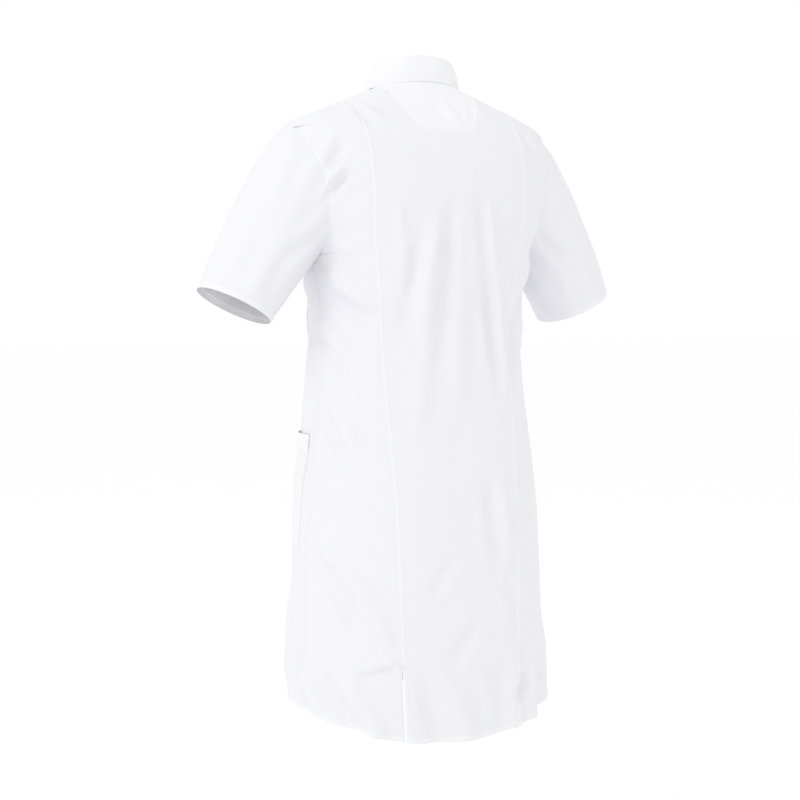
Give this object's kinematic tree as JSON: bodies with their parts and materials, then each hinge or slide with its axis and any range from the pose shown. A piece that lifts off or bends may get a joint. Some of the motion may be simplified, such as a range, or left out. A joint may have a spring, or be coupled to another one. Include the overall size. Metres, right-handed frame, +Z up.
{
  "type": "lab coat",
  "caption": "Short-sleeved white lab coat to the knee, with princess seams, turn-down collar, press-stud front, patch pockets and back vents, in its worn shape.",
  "frame": {"origin": "middle of the neck opening, level with the neck seam at the shoulders", "axes": "+Z up, +Y to the wearer's front, +X to the wearer's right"},
  "size_m": [0.703, 0.3145, 1.0246],
  "materials": {
    "white_cloth": "matte",
    "white_tape": "matte",
    "label": "satin",
    "stud_cap": "gloss",
    "stud_metal": "satin"
  },
  "bodies": {
    "root": {"back_panel": "white_cloth", "side_back_left": "white_cloth", "side_back_right": "white_cloth", "side_front_left": "white_cloth", "side_front_right": "white_cloth", "upper_panel_left": "white_cloth", "upper_panel_right": "white_cloth", "upper_facing_left": "white_cloth", "upper_facing_right": "white_cloth", "sleeve_head_left": "white_cloth", "sleeve_head_right": "white_cloth", "collar_stand": "white_cloth", "collar_fall": "white_cloth", "back_neck_facing": "white_cloth", "chest_pocket": "white_cloth", "lower_pocket_left": "white_cloth", "lower_pocket_right": "white_cloth", "size_label": "label", "stud_1_cap": "stud_cap", "stud_1_socket": "stud_metal", "stud_1_post": "stud_metal"},
    "front_left": {"front_panel_left": "white_cloth", "front_facing_left": "white_cloth", "stud_2_cap": "stud_cap", "stud_2_socket": "stud_metal", "stud_3_cap": "stud_cap", "stud_3_socket": "stud_metal", "stud_4_cap": "stud_cap", "stud_4_socket": "stud_metal", "stud_5_cap": "stud_cap", "stud_5_socket": "stud_metal", "stud_6_cap": "stud_cap", "stud_6_socket": "stud_metal"},
    "front_right": {"front_panel_right": "white_cloth", "front_facing_right": "white_cloth", "stud_2_post": "stud_metal", "stud_3_post": "stud_metal", "stud_4_post": "stud_metal", "stud_5_post": "stud_metal", "stud_6_post": "stud_metal"},
    "sleeve_left_tube": {"sleeve_left": "white_cloth"},
    "sleeve_right_tube": {"sleeve_right": "white_cloth"},
    "tail": {"tail_flap": "white_cloth"},
    "loop": {"hanger_loop": "white_tape"}
  },
  "joints": [
    {"name": "left_front_open", "type": "hinge", "parent": "root", "child": "front_left", "pos_m": [-0.0837, 0.1431, -0.96], "axis": [0, -0.0368, 0.9993], "range_deg": [0, 110]},
    {"name": "right_front_open", "type": "hinge", "parent": "root", "child": "front_right", "pos_m": [0.0837, 0.1431, -0.96], "axis": [0, -0.0368, 0.9993], "range_deg": [-66, 0]},
    {"name": "left_sleeve_raise", "type": "hinge", "parent": "root", "child": "sleeve_left_tube", "pos_m": [-0.205, 0, -0.133], "axis": [0, 1, 0], "range_deg": [0, 50]},
    {"name": "right_sleeve_raise", "type": "hinge", "parent": "root", "child": "sleeve_right_tube", "pos_m": [0.205, 0, -0.133], "axis": [0, -1, 0], "range_deg": [0, 50]},
    {"name": "tail_lift", "type": "hinge", "parent": "root", "child": "tail", "pos_m": [0, -0.1546, -0.8736], "axis": [-1, 0, 0], "range_deg": [0, 60]},
    {"name": "hanger_loop_swing", "type": "hinge", "parent": "root", "child": "loop", "pos_m": [0, -0.0296, 0.0076], "axis": [1, 0, 0], "range_deg": [0, 170]}
  ],
  "couplings": [
    {"joint": "right_front_open", "follows": "left_front_open", "ratio": -0.6}
  ]
}
